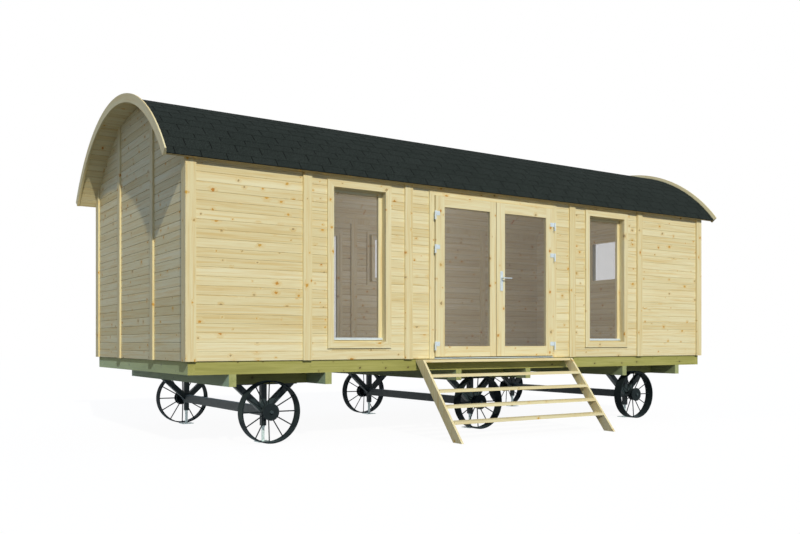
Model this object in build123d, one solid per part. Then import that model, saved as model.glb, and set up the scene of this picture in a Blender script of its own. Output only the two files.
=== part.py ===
"""Shepherd's hut on six steel wheels: an arched timber cabin on a treated base frame.

Lengths are in millimetres. X runs along the hut, the doors face -Y and +Z is up.
The origin lies on the ground under the middle of the footprint, steps included.
"""
import math
import os

from build123d import *

os.makedirs("parts", exist_ok=True)

# Body, measured over the outer faces of the corner boards
hut_length = 7700.0
hut_width = 3510.0
wall_base_height = 883.0
trim_thickness = 20.0
wall_thickness = 40.0
opening_head_height = 1920.0
header_depth = 114.0
curve_clearance = 0.3

# Arched roof, struck from one centre line so that it springs over the heads of the openings
soffit_radius = 2278.0
roof_board_thickness = 20.0
shingle_thickness = 8.0
eave_overhang = 65.0
gable_overhang = 229.0
verge_thickness = 27.0
verge_upstand = 42.0
verge_drop = 24.0
verge_end_trim = 12.0
verge_bevel_width = 12.0
verge_bevel_height = 36.0

# Base frame and floor of treated timber
base_inset_end = 36.0
base_inset_side = 39.0
base_beam_height = 132.0
base_beam_width = 70.0
joist_width = 58.0
joist_count = 10
floor_thickness = 28.0
bearer_width = 77.0
bearer_height = 125.0
wheel_beam_setback = 478.0

# Running gear
axle_spacing = 2815.0
bearer_spread = 1080.0
wheel_radius = 333.0
wheel_width = 120.0
wheel_setback = 296.0
rim_thickness = 14.0
spoke_count = 12
spoke_sides = 6
spoke_diameter = 14.0
spoke_rim_setback = 60.0
spoke_dish = 20.0
hub_setback = 10.0
hub_flange_diameter = 184.0
hub_flange_thickness = 14.0
hub_drum_diameter = 166.0
hub_drum_margin = 15.0
hub_barrel_diameter = 96.0
stub_diameter = 34.0
stub_proud = 22.0
wheel_running_clearance = 0.4
collar_diameter = 70.0
collar_clearance = 1.0
axle_box_width = 60.0
axle_box_height = 98.0
post_side = 62.0
post_setback = 522.0
strut_side = 66.0
strut_reach = 316.0
jack_tube_side = 54.0
jack_tube_foot_height = 176.0
jack_leg_diameter = 33.0
jack_collar_diameter = 46.0
jack_collar_height = 14.0
jack_plate_side = 150.0
jack_plate_thickness = 8.0
head_plate_thickness = 8.0

# Boards that cover the wall joints
corner_board_width = 108.0
batten_width = 102.0
inner_plate_height = 58.0
front_batten_inner = 1269.0
front_batten_outer = 2540.0
back_batten_outer = 2540.0
gable_batten_offset = 650.0

# Double doors
door_frame_width = 1970.0
door_jamb_width = 66.0
door_head_width = 40.0
door_stop_width = 16.0
leaf_thickness = 44.0
leaf_proud = 20.0
leaf_stop_gap = 5.2
leaf_side_gap = 6.0
leaf_meeting_gap = 9.0
leaf_meeting_offset = 18.0
leaf_foot_height = 22.0
leaf_stile_width = 125.0
leaf_light_gap = 116.0
leaf_top_rail = 122.0
leaf_bottom_rail = 121.0
glass_thickness = 14.0
threshold_height = 16.0
threshold_nose = 16.0
threshold_lip = 6.0
hinge_foot_rise = 124.0
hinge_middle_drop = 613.0
hinge_top_drop = 226.0
hinge_length = 100.0
hinge_pin_diameter = 12.0
hinge_stem_diameter = 9.0
hinge_leaf_width = 70.0
hinge_offset = 14.0
hinge_plate_thickness = 4.0
hinge_knuckle_diameter = 22.0
hinge_pin_clearance = 0.3
hinge_axis_proud = 13.0
lever_height = 965.0
lever_backset = 56.0
lever_length = 121.0
lever_diameter = 14.0
lever_neck_diameter = 18.0
lever_proud = 52.0
spindle_diameter = 10.0
spindle_clearance = 0.5
handle_plate_width = 42.0
handle_plate_above = 84.0
handle_plate_below = 154.0
handle_plate_thickness = 7.0
handle_plate_corner = 10.0
keyhole_diameter = 9.0
keyhole_drop = 92.0

# Windows
casing_width = 72.0
casing_thickness = 20.0
lining_thickness = 18.0
sash_width = 44.0
sash_thickness = 36.0
sash_setback = 88.0
lining_depth = 130.0
weather_bar_height = 44.0
weather_bar_depth = 16.0
weather_bar_rise = 17.0
weather_bar_nose = 17.0
tall_window_inner = 1505.0
tall_window_width = 796.0
tall_window_foot = 124.0
small_window_height = 832.0
back_tall_window_edge = 210.0
back_small_window_edge = 236.0

# Steps
step_width = 2310.0
stringer_thickness = 27.0
stringer_depth = 120.0
stringer_slope = 50.5
stringer_foot_reach = 827.0
stringer_top_drop = 9.0
tread_count = 5
tread_rise = 164.0
tread_thickness = 30.0
tread_depth = 150.0
tread_nosing = 20.0
top_tread_setback = 14.0

# Cutters run past what they cut by this much
cut_overrun = 20.0

# Values worked out from the sizes above
half_length = hut_length / 2
half_width = hut_width / 2
wall_foot = wall_base_height
face_x = half_length - trim_thickness
face_y = half_width - trim_thickness
room_x = face_x - wall_thickness
room_y = face_y - wall_thickness
door_frame_height = opening_head_height
window_head_height = opening_head_height
spring_rise = math.sqrt(soffit_radius**2 - face_y**2)
arch_z = wall_foot + opening_head_height + header_depth - spring_rise
roof_board_radius = soffit_radius + roof_board_thickness
shingle_radius = roof_board_radius + shingle_thickness
verge_outer_radius = shingle_radius + verge_upstand
verge_inner_radius = soffit_radius - verge_drop
eave_reach = half_width + eave_overhang
eave_angle = math.degrees(math.asin(eave_reach / shingle_radius))
verge_angle = eave_angle - math.degrees(verge_end_trim / verge_outer_radius)
verge_x = half_length + gable_overhang
roof_end_x = verge_x - verge_thickness
base_x = half_length - base_inset_end
base_y = half_width - base_inset_side
base_foot = wall_foot - base_beam_height
bearer_foot = base_foot - bearer_height
axle_z = wheel_radius
axle_xs = (-axle_spacing, 0, axle_spacing)
bearer_half_spread = bearer_spread / 2
step_reach_y = half_width + stringer_foot_reach
roof_reach_y = max(eave_reach, verge_outer_radius * math.sin(math.radians(verge_angle)))
footprint_shift = (step_reach_y - roof_reach_y) / 2


def keep(name, *solids):
    """Set the named piece in the part's frame and write it as one file."""
    placed = [piece for solid in solids for piece in (Pos(0, footprint_shift, 0) * solid).solids()]
    shape = Compound(placed) if len(placed) > 1 else placed[0]
    export_step(shape, os.path.join("parts", name + ".step"))


def block(x0, x1, y0, y1, z0, z1):
    """A squared timber or plate between two opposite corners."""
    size = Box(abs(x1 - x0), abs(y1 - y0), abs(z1 - z0))
    return Pos((x0 + x1) / 2, (y0 + y1) / 2, (z0 + z1) / 2) * size


def rod_y(x, y0, y1, z, diameter):
    """A round bar along Y between two stations."""
    face = Plane(origin=(x, min(y0, y1), z), x_dir=(1, 0, 0), z_dir=(0, 1, 0)) * Circle(diameter / 2)
    return extrude(face, amount=abs(y1 - y0))


def rod_z(x, y, z0, z1, diameter):
    """A round bar along Z between two heights."""
    face = Pos(x, y, min(z0, z1)) * Circle(diameter / 2)
    return extrude(face, amount=abs(z1 - z0))


def vault(x0, x1, radius):
    """The full barrel under the roof curve, used to trim what rises to it."""
    face = Plane(origin=(x0, 0, arch_z), x_dir=(0, 1, 0), z_dir=(1, 0, 0)) * Circle(radius)
    barrel = extrude(face, amount=x1 - x0)
    below = block(x0, x1, -radius, radius, arch_z - radius, arch_z)
    return barrel + below


def arch_shell(x0, x1, inner, outer, end_angle):
    """A curved board or skin between two radii, ended square to the curve at both eaves."""
    half = math.radians(end_angle)

    def at(radius, angle):
        return (radius * math.sin(angle), radius * math.cos(angle))

    outline = [
        ThreePointArc(at(outer, -half), at(outer, 0), at(outer, half)),
        Line(at(outer, half), at(inner, half)),
        ThreePointArc(at(inner, half), at(inner, 0), at(inner, -half)),
        Line(at(inner, -half), at(outer, -half)),
    ]
    plane = Plane(origin=(x0, 0, arch_z), x_dir=(0, 1, 0), z_dir=(1, 0, 0))
    return extrude(plane * make_face(outline), amount=x1 - x0)


def verge_board(outer_x, inward):
    """A curved verge board swept round the roof's centre, bevelled along its inner top edge."""
    inner_x = outer_x + inward * verge_thickness
    section = [
        (outer_x, verge_inner_radius),
        (inner_x, verge_inner_radius),
        (inner_x, verge_outer_radius - verge_bevel_height),
        (inner_x - inward * verge_bevel_width, verge_outer_radius),
        (outer_x, verge_outer_radius),
    ]
    half = math.radians(verge_angle)
    plane = Plane(origin=(0, 0, arch_z), x_dir=(1, 0, 0), z_dir=(0, -math.cos(half), math.sin(half)))
    face = plane * make_face(Polyline(*section, close=True))
    return revolve(face, Axis((0, 0, arch_z), (1, 0, 0)), 2 * verge_angle)


trim_barrel = vault(-verge_x, verge_x, soffit_radius - curve_clearance)
wall_top = arch_z + soffit_radius


# Base frame
cross_x = base_x - base_beam_width
cross_y = base_y - base_beam_width
keep("base_beam_front", block(-cross_x, cross_x, -base_y, -cross_y, base_foot, wall_foot))
keep("base_beam_back", block(-cross_x, cross_x, cross_y, base_y, base_foot, wall_foot))
keep("base_beam_left", block(-base_x, -cross_x, -base_y, base_y, base_foot, wall_foot))
keep("base_beam_right", block(cross_x, base_x, -base_y, base_y, base_foot, wall_foot))
joist_span = 2 * cross_x
joist_pitch = joist_span / (joist_count + 1)
joists = []
for index in range(joist_count):
    x0 = joist_pitch * (index + 1) - (joist_span + joist_width) / 2
    joists.append(block(x0, x0 + joist_width, -cross_y, cross_y, base_foot, wall_foot))
keep("floor_joists", *joists)
keep("floor_deck", block(-room_x, room_x, -room_y, room_y, wall_foot, wall_foot + floor_thickness))

# Bearers across the base and the short beams that carry the wheels
bearer_xs = [x + side * bearer_half_spread for x in axle_xs for side in (-1, 1)]
bearers = []
for bearer_x in bearer_xs:
    x0 = bearer_x - bearer_width / 2
    bearers.append(block(x0, x0 + bearer_width, -base_y, base_y, bearer_foot, base_foot))
keep("cross_bearers", *bearers)
beam_reach = bearer_half_spread - bearer_width / 2
beam_outer_y = half_width - wheel_beam_setback
beam_inner_y = beam_outer_y - bearer_width
wheel_beams = []
for axle_x in axle_xs:
    for side in (-1, 1):
        wheel_beams.append(
            block(
                axle_x - beam_reach,
                axle_x + beam_reach,
                side * beam_inner_y,
                side * beam_outer_y,
                bearer_foot,
                base_foot,
            )
        )
keep("wheel_beams", *wheel_beams)

# Welded steel axle frames: box axle, posts, raking struts, jack tubes and stub axles
post_y = half_width - post_setback
wheel_outer_y = half_width - wheel_setback
wheel_inner_y = wheel_outer_y - wheel_width
hub_outer_y = wheel_outer_y - hub_setback
spoke_rim_y = wheel_outer_y - spoke_rim_setback
spoke_hub_y = spoke_rim_y - spoke_dish
stub_end_y = hub_outer_y + stub_proud
hub_inner_y = wheel_inner_y
collar_inner_y = post_y + post_side / 2
collar_outer_y = hub_inner_y - collar_clearance


def axle_frame(axle_x):
    """One axle with both wheel stations welded on."""
    frame = block(
        axle_x - axle_box_width / 2,
        axle_x + axle_box_width / 2,
        -post_y,
        post_y,
        axle_z - axle_box_height / 2,
        axle_z + axle_box_height / 2,
    )
    for side in (-1, 1):
        frame += block(
            axle_x - post_side / 2,
            axle_x + post_side / 2,
            side * post_y - post_side / 2,
            side * post_y + post_side / 2,
            axle_z - axle_box_height / 2,
            bearer_foot - head_plate_thickness,
        )
        for hand in (-1, 1):
            strut_rise = bearer_foot - axle_z
            strut_length = math.hypot(strut_reach, strut_rise) + strut_side
            along = Vector(hand * strut_reach, 0, strut_rise)
            seat = Plane(origin=(axle_x, side * post_y, axle_z), x_dir=(0, 1, 0), z_dir=along)
            strut = extrude(seat * Rectangle(strut_side, strut_side), amount=strut_length)
            level = block(
                axle_x - beam_reach,
                axle_x + beam_reach,
                side * post_y - strut_side,
                side * post_y + strut_side,
                axle_z - axle_box_height / 2,
                bearer_foot - head_plate_thickness,
            )
            frame += strut & level
        head_reach = strut_reach + strut_side
        frame += block(
            axle_x - head_reach,
            axle_x + head_reach,
            side * beam_inner_y,
            side * beam_outer_y,
            bearer_foot - head_plate_thickness,
            bearer_foot,
        )
        tube = block(
            axle_x - jack_tube_side / 2,
            axle_x + jack_tube_side / 2,
            side * post_y - jack_tube_side / 2,
            side * post_y + jack_tube_side / 2,
            jack_tube_foot_height,
            axle_z,
        )
        frame += tube
        frame += rod_y(axle_x, side * post_y, side * collar_outer_y, axle_z, collar_diameter)
        frame += rod_y(axle_x, side * post_y, side * stub_end_y, axle_z, stub_diameter)
    return frame


for name, axle_x in zip(("left", "middle", "right"), axle_xs):
    keep("axle_frame_" + name, axle_frame(axle_x))

# Galvanised jack legs with flat feet, set under each post
legs = []
for axle_x in axle_xs:
    for side in (-1, 1):
        plate = block(
            axle_x - jack_plate_side / 2,
            axle_x + jack_plate_side / 2,
            side * post_y - jack_plate_side / 2,
            side * post_y + jack_plate_side / 2,
            0,
            jack_plate_thickness,
        )
        leg = rod_z(axle_x, side * post_y, jack_plate_thickness, jack_tube_foot_height, jack_leg_diameter)
        collar_foot = jack_tube_foot_height - jack_collar_height
        collar = rod_z(axle_x, side * post_y, collar_foot, jack_tube_foot_height, jack_collar_diameter)
        legs.append(plate + leg + collar)
keep("jack_legs", *legs)


def wheel(axle_x, side):
    """A spoked steel wheel: rolled rim, dished spokes and a flanged drum hub on a plain bore."""
    bore_radius = stub_diameter / 2 + wheel_running_clearance
    rim_inner = wheel_radius - rim_thickness
    section = [
        (rim_inner, wheel_inner_y),
        (wheel_radius, wheel_inner_y),
        (wheel_radius, wheel_outer_y),
        (rim_inner, wheel_outer_y),
    ]
    flange_back = hub_outer_y - hub_flange_thickness
    barrel = hub_barrel_diameter / 2
    flange = hub_flange_diameter / 2
    drum = hub_drum_diameter / 2
    drum_back = spoke_hub_y - hub_drum_margin
    hub = [
        (bore_radius, hub_inner_y),
        (barrel, hub_inner_y),
        (barrel, drum_back),
        (drum, drum_back),
        (drum, flange_back),
        (flange, flange_back),
        (flange, hub_outer_y),
        (bore_radius, hub_outer_y),
    ]
    across = Plane(origin=(0, 0, 0), x_dir=(1, 0, 0), z_dir=(0, 0, 1))
    solid = revolve(across * make_face(Polyline(*section, close=True)), axis=Axis.Y)
    solid += revolve(across * make_face(Polyline(*hub, close=True)), axis=Axis.Y)
    spoke_start = drum - spoke_diameter
    spoke_end = wheel_radius - rim_thickness / 2
    for index in range(spoke_count):
        turn = math.radians(index * 360 / spoke_count)
        out = Vector(math.cos(turn), 0, math.sin(turn))
        root = out * spoke_start + Vector(0, spoke_hub_y, 0)
        along = out * spoke_end + Vector(0, spoke_rim_y, 0) - root
        across_spoke = Vector(-math.sin(turn), 0, math.cos(turn))
        seat = Plane(origin=root, x_dir=across_spoke, z_dir=along)
        solid += extrude(seat * RegularPolygon(spoke_diameter / 2, spoke_sides), amount=along.length)
    if side < 0:
        solid = mirror(solid, about=Plane.XZ)
    return Pos(axle_x, 0, axle_z) * solid


for side, row in ((-1, "front"), (1, "back")):
    for name, axle_x in zip(("left", "middle", "right"), axle_xs):
        keep("wheel_%s_%s" % (row, name), wheel(axle_x, side))


def window_box(centre, width, foot, head, y0, y1, grow):
    """A cutter for a window in a long wall, grown evenly past the given size."""
    return block(
        centre - width / 2 - grow,
        centre + width / 2 + grow,
        y0,
        y1,
        wall_foot + foot - grow,
        wall_foot + head + grow,
    )


# Windows as (centre, foot height), widths shared by all
tall_centre = tall_window_inner + tall_window_width / 2
small_foot = window_head_height - small_window_height
back_tall_centre = -(back_tall_window_edge + tall_window_width / 2)
back_small_centre = back_small_window_edge + tall_window_width / 2
wall_cut_grow = lining_thickness - casing_width


def side_wall(x0, x1, side, cuts):
    """A length of front or back wall, trimmed to the vault and cut for its windows."""
    wall = block(x0, x1, side * room_y, side * face_y, wall_foot, wall_top) & trim_barrel
    for centre, foot in cuts:
        wall -= window_box(
            centre,
            tall_window_width,
            foot,
            window_head_height,
            side * (room_y - wall_thickness),
            side * half_width,
            wall_cut_grow,
        )
    return wall


door_half = door_frame_width / 2
keep("front_wall_left", side_wall(-room_x, -door_half, -1, [(-tall_centre, tall_window_foot)]))
keep("front_wall_right", side_wall(door_half, room_x, -1, [(tall_centre, tall_window_foot)]))
over_door = block(-door_half, door_half, -room_y, -face_y, wall_foot + door_frame_height, wall_top)
keep("front_wall_over_door", over_door & trim_barrel)
back_cuts = [(back_tall_centre, tall_window_foot), (back_small_centre, small_foot)]
keep("back_wall", side_wall(-room_x, room_x, 1, back_cuts))


def gable(side, cut):
    """An end wall with the arched head, cut for a window where it has one."""
    wall = block(side * room_x, side * face_x, -face_y, face_y, wall_foot, wall_top) & trim_barrel
    if cut:
        wall -= block(
            side * (room_x - wall_thickness),
            side * half_length,
            -tall_window_width / 2 - wall_cut_grow,
            tall_window_width / 2 + wall_cut_grow,
            wall_foot + small_foot - wall_cut_grow,
            wall_foot + window_head_height + wall_cut_grow,
        )
    return wall


keep("left_gable_wall", gable(-1, False))
keep("right_gable_wall", gable(1, True))


def side_boards(side, centres):
    """Corner boards and joint battens on a long wall."""
    boards = []
    spans = [(c - batten_width / 2, c + batten_width / 2) for c in centres]
    spans.append((-half_length, -half_length + corner_board_width))
    spans.append((half_length - corner_board_width, half_length))
    for x0, x1 in spans:
        boards.append(block(x0, x1, side * face_y, side * half_width, wall_foot, wall_top) & trim_barrel)
    return boards


def gable_boards(side):
    """Corner boards and battens on an end wall."""
    boards = []
    centres = (-gable_batten_offset, gable_batten_offset)
    spans = [(c - batten_width / 2, c + batten_width / 2) for c in centres]
    inner = face_y - corner_board_width
    spans.append((-face_y, -inner))
    spans.append((inner, face_y))
    for y0, y1 in spans:
        boards.append(block(side * face_x, side * half_length, y0, y1, wall_foot, wall_top) & trim_barrel)
    return boards


front_centres = [s * c for c in (front_batten_inner, front_batten_outer) for s in (-1, 1)]
keep("front_battens", *side_boards(-1, front_centres))
keep("back_battens", *side_boards(1, [-back_batten_outer, 0, back_batten_outer]))

# Inside the back wall: battens over the joints, headed by one plate under the vault
floor_top = wall_foot + floor_thickness
inner_trim_y = room_y - trim_thickness
plate_foot = arch_z + math.sqrt(soffit_radius**2 - room_y**2) - inner_plate_height
inner_trim = block(-room_x, room_x, inner_trim_y, room_y, plate_foot, wall_top)
for centre in (-back_batten_outer, 0, back_batten_outer):
    x0 = centre - batten_width / 2
    inner_trim += block(x0, x0 + batten_width, inner_trim_y, room_y, floor_top, wall_top)
keep("inner_battens", inner_trim & trim_barrel)
keep("left_gable_battens", *gable_boards(-1))
keep("right_gable_battens", *gable_boards(1))


def window_frame(width, height):
    """A fixed window, outer face on z = 0 and centred: casing, lining and sash as one joinery unit."""
    sight_w = width - 2 * casing_width
    sight_h = height - 2 * casing_width
    casing = extrude(Rectangle(width, height) - Rectangle(sight_w, sight_h), amount=-casing_thickness)
    lining_face = Rectangle(sight_w + 2 * lining_thickness, sight_h + 2 * lining_thickness)
    lining_face -= Rectangle(sight_w, sight_h)
    lining = extrude(lining_face, amount=-lining_depth)
    inner_face = casing_thickness + wall_thickness
    inner = Rectangle(width, height) - Rectangle(sight_w, sight_h)
    inner_casing = Pos(0, 0, -inner_face) * extrude(inner, amount=-casing_thickness)
    sash_face = Rectangle(sight_w, sight_h) - Rectangle(sight_w - 2 * sash_width, sight_h - 2 * sash_width)
    sash = Pos(0, 0, -sash_setback) * extrude(sash_face, amount=-sash_thickness)
    return casing + lining + sash + inner_casing


def window_glass(width, height):
    """The pane that fills a sash, set in the middle of its thickness."""
    glass_w = width - 2 * (casing_width + sash_width)
    glass_h = height - 2 * (casing_width + sash_width)
    back = sash_setback + (sash_thickness + glass_thickness) / 2
    return Pos(0, 0, -back) * extrude(Rectangle(glass_w, glass_h), amount=glass_thickness)


def weather_bar(width, height):
    """The metal drip bar along the foot of a sash: a nosed strip with a sloping top."""
    sight_w = width - 2 * casing_width
    foot = casing_width - height / 2
    profile = [
        (foot + weather_bar_rise, 0),
        (foot + weather_bar_rise, weather_bar_depth),
        (foot + weather_bar_rise + weather_bar_nose, weather_bar_depth),
        (foot + weather_bar_height, 0),
    ]
    plane = Plane(origin=(-sight_w / 2, 0, -sash_setback), x_dir=(0, 1, 0), z_dir=(1, 0, 0))
    return extrude(plane * make_face(Polyline(*profile, close=True)), amount=sight_w)


def on_wall(shape, x, y, foot, height, facing):
    """Hang a window unit on the outer trim plane of a wall."""
    out = Vector(*facing)
    across = Vector(0, 0, 1).cross(out)
    plane = Plane(origin=(x, y, wall_foot + foot + height / 2), x_dir=across, z_dir=out)
    return plane * shape


tall_height = window_head_height - tall_window_foot
front_out = (0, -1, 0)
back_out = (0, 1, 0)
right_out = (1, 0, 0)
window_list = (
    ("window_front_left", -tall_centre, -half_width, tall_window_foot, tall_height, front_out),
    ("window_front_right", tall_centre, -half_width, tall_window_foot, tall_height, front_out),
    ("window_back_tall", back_tall_centre, half_width, tall_window_foot, tall_height, back_out),
    ("window_back_small", back_small_centre, half_width, small_foot, small_window_height, back_out),
    ("window_right_gable", half_length, 0, small_foot, small_window_height, right_out),
)
panes = []
bars = []
for name, x, y, foot, height, facing in window_list:
    keep(name, on_wall(window_frame(tall_window_width, height), x, y, foot, height, facing))
    panes.append(on_wall(window_glass(tall_window_width, height), x, y, foot, height, facing))
    bars.append(on_wall(weather_bar(tall_window_width, height), x, y, foot, height, facing))
keep("window_glass", *panes)
keep("window_weather_bars", *bars)

# Door frame with a stop behind the leaves
door_front = -half_width
door_back = -room_y
frame_inner_x = door_half - door_jamb_width
frame_head = wall_foot + door_frame_height
frame_inner_z = frame_head - door_head_width
leaf_front = door_front - leaf_proud
leaf_back = leaf_front + leaf_thickness
stop_front = leaf_back + leaf_stop_gap
stop_foot = wall_foot + threshold_height
frame = block(-door_half, door_half, door_front, door_back, wall_foot, frame_head)
frame -= block(-frame_inner_x, frame_inner_x, door_front, door_back, wall_foot, frame_inner_z)
stop = block(-frame_inner_x, frame_inner_x, stop_front, door_back, stop_foot, frame_inner_z)
stop_x = frame_inner_x - door_stop_width
stop -= block(-stop_x, stop_x, stop_front, door_back, stop_foot, frame_inner_z - door_stop_width)
keep("door_frame", frame + stop)
sill_profile = [
    (door_back, wall_foot),
    (door_front - threshold_nose, wall_foot),
    (door_front - threshold_nose, wall_foot + threshold_lip),
    (leaf_back, wall_foot + threshold_height),
    (door_back, wall_foot + threshold_height),
]
sill_plane = Plane(origin=(-frame_inner_x, 0, 0), x_dir=(0, 1, 0), z_dir=(1, 0, 0))
sill_face = sill_plane * make_face(Polyline(*sill_profile, close=True))
keep("door_threshold", extrude(sill_face, amount=2 * frame_inner_x))

# Door leaves, glazed, with a bead line round each pane
leaf_outer_x = frame_inner_x - leaf_side_gap
meeting_half_gap = leaf_meeting_gap / 2
leaf_foot = wall_foot + leaf_foot_height
leaf_head = frame_inner_z - leaf_side_gap
lever_z = wall_foot + lever_height
lever_x = leaf_light_gap - lever_backset
glass_mid = (leaf_front + leaf_back) / 2


def door_leaf(side):
    """A stile-and-rail leaf with its light cut through. The right leaf laps past the middle."""
    inner_edge = side * meeting_half_gap - leaf_meeting_offset
    outer_edge = side * leaf_outer_x
    light_inner = side * leaf_light_gap
    light_outer = side * (leaf_outer_x - leaf_stile_width)
    light_foot = leaf_foot + leaf_bottom_rail
    light_head = leaf_head - leaf_top_rail
    leaf = block(inner_edge, outer_edge, leaf_front, leaf_back, leaf_foot, leaf_head)
    leaf -= block(light_inner, light_outer, leaf_front, leaf_back, light_foot, light_head)
    pane_front = glass_mid - glass_thickness / 2
    pane_back = glass_mid + glass_thickness / 2
    pane = block(light_inner, light_outer, pane_front, pane_back, light_foot, light_head)
    return leaf, pane


left_leaf, left_pane = door_leaf(-1)
right_leaf, right_pane = door_leaf(1)
spindle_hole = rod_y(lever_x, leaf_front, leaf_back, lever_z, spindle_diameter + 2 * spindle_clearance)
keep("door_leaf_left", left_leaf)
keep("door_leaf_right", right_leaf - spindle_hole)
keep("door_glass_left", left_pane)
keep("door_glass_right", right_pane)

# Lift-off hinges: pins stand on the frame, knuckles ride on the leaves
pin_x = leaf_outer_x + hinge_offset
pin_y = leaf_front - hinge_axis_proud


def hinge_halves(side, mid):
    """The frame half with its pin and the leaf half with its knuckle, for one hinge."""
    low = mid - hinge_length / 2
    high = mid + hinge_length / 2
    x = side * pin_x
    fixed = rod_z(x, pin_y, low, mid, hinge_knuckle_diameter)
    fixed += rod_z(x, pin_y, mid, high, hinge_pin_diameter)
    for stem_z in (low + hinge_stem_diameter, mid - hinge_stem_diameter):
        fixed += rod_y(x, pin_y, door_front, stem_z, hinge_stem_diameter)
    lift = mid + hinge_pin_clearance
    riding = rod_z(x, pin_y, lift, high, hinge_knuckle_diameter)
    arm = [
        (0, 0),
        (0, hinge_knuckle_diameter / 2),
        (hinge_knuckle_diameter / 2 + hinge_plate_thickness, hinge_plate_thickness),
        (hinge_leaf_width, hinge_plate_thickness),
        (hinge_leaf_width, 0),
    ]
    arm_plane = Plane(origin=(x, leaf_front, lift), x_dir=(-side, 0, 0), z_dir=(0, 0, side))
    riding += extrude(arm_plane * make_face(Polyline(*arm, close=True)), amount=side * (high - lift))
    riding -= rod_z(x, pin_y, low, high + hinge_plate_thickness, hinge_pin_diameter + 2 * hinge_pin_clearance)
    return fixed, riding


hinge_levels = (leaf_foot + hinge_foot_rise, leaf_head - hinge_middle_drop, leaf_head - hinge_top_drop)
fixed_halves = []
for side, name in ((-1, "left"), (1, "right")):
    riding_halves = []
    for level in hinge_levels:
        fixed, riding = hinge_halves(side, level)
        fixed_halves.append(fixed)
        riding_halves.append(riding)
    keep("door_hinges_" + name, *riding_halves)
keep("door_hinge_pins", *fixed_halves)

# Lever handle on the right leaf, with a plate on each face
plate_span = handle_plate_above + handle_plate_below
plate_mid = lever_z + (handle_plate_above - handle_plate_below) / 2
plates = []
for face, out in ((leaf_front, -1), (leaf_back, 1)):
    plane = Plane(origin=(lever_x, face, plate_mid), x_dir=(1, 0, 0), z_dir=(0, out, 0))
    outline = plane * RectangleRounded(handle_plate_width, plate_span, handle_plate_corner)
    plate = extrude(outline, amount=handle_plate_thickness)
    through = face + out * (handle_plate_thickness + cut_overrun)
    plate -= rod_y(lever_x, face, through, lever_z, spindle_diameter + 2 * spindle_clearance)
    plate -= rod_y(lever_x, face, through, lever_z - keyhole_drop, keyhole_diameter)
    plates.append(plate)
keep("handle_plates", *plates)
lever = rod_y(lever_x, leaf_front - lever_proud, leaf_back + lever_proud, lever_z, spindle_diameter)
for face, out in ((leaf_front, -1), (leaf_back, 1)):
    tip = face + out * lever_proud
    neck = face + out * (handle_plate_thickness + spindle_clearance)
    lever += rod_y(lever_x, neck, tip + out * lever_diameter / 2, lever_z, lever_neck_diameter)
    grip_plane = Plane(origin=(lever_x, tip, lever_z), x_dir=(0, 1, 0), z_dir=(1, 0, 0))
    lever += extrude(grip_plane * Circle(lever_diameter / 2), amount=lever_length)
keep("lever_handle", lever)

# Roof: boarded vault, shingle skin and the curved verge boards
keep("roof_boards", arch_shell(-roof_end_x, roof_end_x, soffit_radius, roof_board_radius, eave_angle))
keep("roof_shingles", arch_shell(-roof_end_x, roof_end_x, roof_board_radius, shingle_radius, eave_angle))
keep("verge_board_left", verge_board(-verge_x, 1))
keep("verge_board_right", verge_board(verge_x, -1))

# Open steps to the doors
slope = math.radians(stringer_slope)
run_per_rise = 1 / math.tan(slope)
level_depth = stringer_depth / math.sin(slope)
step_top = wall_foot - stringer_top_drop
front_foot = -half_width - stringer_foot_reach
top_front = front_foot + step_top * run_per_rise
base_face = -base_y
plumb_height = (base_face - front_foot - level_depth) / run_per_rise
side_profile = [
    (front_foot, 0),
    (top_front, step_top),
    (base_face, step_top),
    (base_face, plumb_height),
    (front_foot + level_depth, 0),
]
stringers = []
for x in (-step_width / 2, step_width / 2 - stringer_thickness):
    plane = Plane(origin=(x, 0, 0), x_dir=(0, 1, 0), z_dir=(1, 0, 0))
    side = plane * make_face(Polyline(*side_profile, close=True))
    stringers.append(extrude(side, amount=stringer_thickness))
keep("step_stringers", *stringers)
treads = []
tread_reach = step_width / 2 - stringer_thickness
for index in range(tread_count):
    top = step_top - index * tread_rise
    edge = front_foot + top * run_per_rise
    front = edge + top_tread_setback if index == 0 else edge - tread_nosing
    back = base_face if index == 0 else front + tread_depth
    treads.append(block(-tread_reach, tread_reach, front, back, top - tread_thickness, top))
keep("step_treads", *treads)
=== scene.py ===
"""Shepherd's hut: boards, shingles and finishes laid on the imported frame, in metres."""

import bpy
import numpy as np
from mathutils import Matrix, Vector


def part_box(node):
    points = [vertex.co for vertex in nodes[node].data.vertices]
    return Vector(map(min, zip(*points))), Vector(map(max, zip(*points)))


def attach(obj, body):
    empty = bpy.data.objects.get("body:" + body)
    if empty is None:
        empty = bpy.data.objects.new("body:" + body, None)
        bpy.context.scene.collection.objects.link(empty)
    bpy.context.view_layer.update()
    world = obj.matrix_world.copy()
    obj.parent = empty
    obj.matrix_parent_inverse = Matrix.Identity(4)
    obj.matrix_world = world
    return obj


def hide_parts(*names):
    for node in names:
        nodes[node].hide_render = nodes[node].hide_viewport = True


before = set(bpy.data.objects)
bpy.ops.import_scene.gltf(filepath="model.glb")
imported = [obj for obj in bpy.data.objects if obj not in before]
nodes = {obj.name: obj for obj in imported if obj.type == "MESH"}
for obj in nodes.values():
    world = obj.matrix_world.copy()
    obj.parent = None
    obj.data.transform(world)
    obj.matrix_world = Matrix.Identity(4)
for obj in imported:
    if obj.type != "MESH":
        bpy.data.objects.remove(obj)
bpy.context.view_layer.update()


def low(node):
    """Lowest corner of a CAD node."""
    return np.array(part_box(node)[0], float)


def high(node):
    """Highest corner of a CAD node."""
    return np.array(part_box(node)[1], float)


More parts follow.
